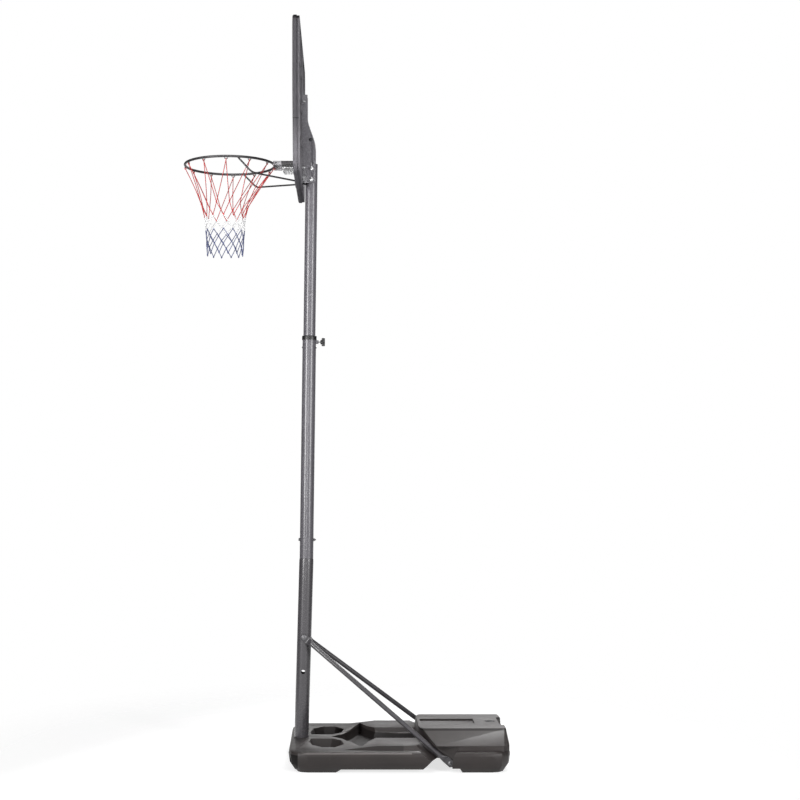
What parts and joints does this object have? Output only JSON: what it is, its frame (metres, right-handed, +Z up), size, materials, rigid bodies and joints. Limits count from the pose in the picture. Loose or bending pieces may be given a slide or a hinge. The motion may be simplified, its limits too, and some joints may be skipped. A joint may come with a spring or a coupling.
{
  "type": "portable basketball hoop",
  "caption": "Free-standing basketball hoop: fillable wheeled base, telescoping mast with rear struts, tapered board, sprung ring and tricolour net.",
  "frame": {"origin": "on the ground, under the middle of the whole object", "axes": "+Z up; +X from the board towards the base's tank, so -X faces the court; Y along the board's width and the wheel axle, +Y away from the camera of the picture; the object is close to symmetric about Y = 0"},
  "size_m": [1.6436, 1.1, 3.665],
  "materials": {
    "mast_paint": "dark warm-grey enamel, satin",
    "board_plastic": "moulded grey plastic, matte",
    "base_plastic": "blow-moulded charcoal plastic, lightly grained",
    "black_plastic": "black moulded plastic, satin",
    "wheel_plastic": "hard black plastic",
    "rim_paint": "near-black powder coat",
    "zinc": "bright zinc plate",
    "black_steel": "black oxide",
    "cord_red": "twisted polyester cord, red",
    "cord_white": "twisted polyester cord, white",
    "cord_blue": "twisted polyester cord, blue",
    "fill_water": "water or sand inside the base, not seen from outside"
  },
  "bodies": {
    "base": {"base_shell": "base_plastic", "ballast_fill": "fill_water", "wheel_axle": "zinc", "axle_cap_left": "zinc", "axle_cap_right": "zinc", "lower_pole": "mast_paint", "middle_pole": "mast_paint", "pole_joint_bolt": "zinc", "pole_joint_nut": "zinc", "pole_collar": "black_plastic", "collar_screw_front": "zinc", "collar_screw_rear": "zinc", "clamp_boss": "mast_paint", "strut_left": "mast_paint", "strut_right": "mast_paint", "strut_top_bolt": "zinc", "strut_top_nut": "zinc", "strut_foot_bolt_left": "zinc", "strut_foot_bolt_right": "zinc"},
    "head": {"upper_pole": "mast_paint", "pole_top_cap": "black_plastic", "bracket_plate_left": "mast_paint", "bracket_plate_right": "mast_paint", "bracket_bolt_upper": "zinc", "bracket_bolt_upper_nut": "zinc", "bracket_bolt_lower": "zinc", "bracket_bolt_lower_nut": "zinc", "bracket_tie_bolt": "black_steel", "bracket_tie_bolt_nut": "black_steel", "backboard_panel": "board_plastic", "backboard_frame": "board_plastic", "board_bolt_lower_left": "zinc", "board_bolt_lower_right": "zinc", "board_bolt_upper_left": "zinc", "board_bolt_upper_right": "zinc", "board_nut_lower_left": "zinc", "board_nut_lower_right": "zinc", "board_nut_upper_left": "zinc", "board_nut_upper_right": "zinc", "spring_bolt_left": "zinc", "spring_bolt_right": "zinc", "spring_nut_left": "zinc", "spring_nut_right": "zinc", "spring_washer_left": "zinc", "spring_washer_right": "zinc", "rim_spring_left": "zinc", "rim_spring_right": "zinc"},
    "rim": {"rim_ring": "rim_paint", "rim_bracket": "rim_paint", "rim_brace_left": "rim_paint", "rim_brace_right": "rim_paint", "net_red": "cord_red", "net_white": "cord_white", "net_blue": "cord_blue"},
    "clamp_stud": {"clamp_stud": "zinc"},
    "clamp_knob": {"clamp_knob": "black_plastic"},
    "wheel_left": {"wheel_left": "wheel_plastic"},
    "wheel_right": {"wheel_right": "wheel_plastic"},
    "filler_cap": {"filler_cap": "black_plastic"}
  },
  "joints": [
    {"name": "mast_height", "type": "slide", "parent": "base", "child": "head", "axis": [0.0133, 0, 0.9999], "range_m": [-0.75, 0]},
    {"name": "rim_flex", "type": "hinge", "parent": "head", "child": "rim", "pos_m": [-0.24613, 0, 2.942], "axis": [0, -1, 0], "range_deg": [0, 6], "stiffness_Nm_per_rad": 350, "springref_deg": -5.73, "deforming": ["rim_spring_left", "rim_spring_right"]},
    {"name": "clamp_travel", "type": "slide", "parent": "base", "child": "clamp_stud", "axis": [0.9999, 0, -0.0133], "range_m": [0, 0.0051]},
    {"name": "clamp_turn", "type": "hinge", "parent": "clamp_stud", "child": "clamp_knob", "pos_m": [-0.11992, 0, 2.13524], "axis": [0.9999, 0, -0.0133], "range_deg": [0, 1440]},
    {"name": "wheel_left_spin", "type": "hinge", "parent": "base", "child": "wheel_left", "pos_m": [-0.21914, -0.292, 0.051], "axis": [0, 1, 0], "continuous": true},
    {"name": "wheel_right_spin", "type": "hinge", "parent": "base", "child": "wheel_right", "pos_m": [-0.21914, 0.292, 0.051], "axis": [0, 1, 0], "continuous": true},
    {"name": "filler_cap_lift", "type": "slide", "parent": "base", "child": "filler_cap", "axis": [0, 0, 1], "range_m": [0, 0.06]}
  ],
  "couplings": [
    {"joint": "clamp_travel", "follows": "clamp_turn", "m_per_rad": 0.00019894}
  ]
}
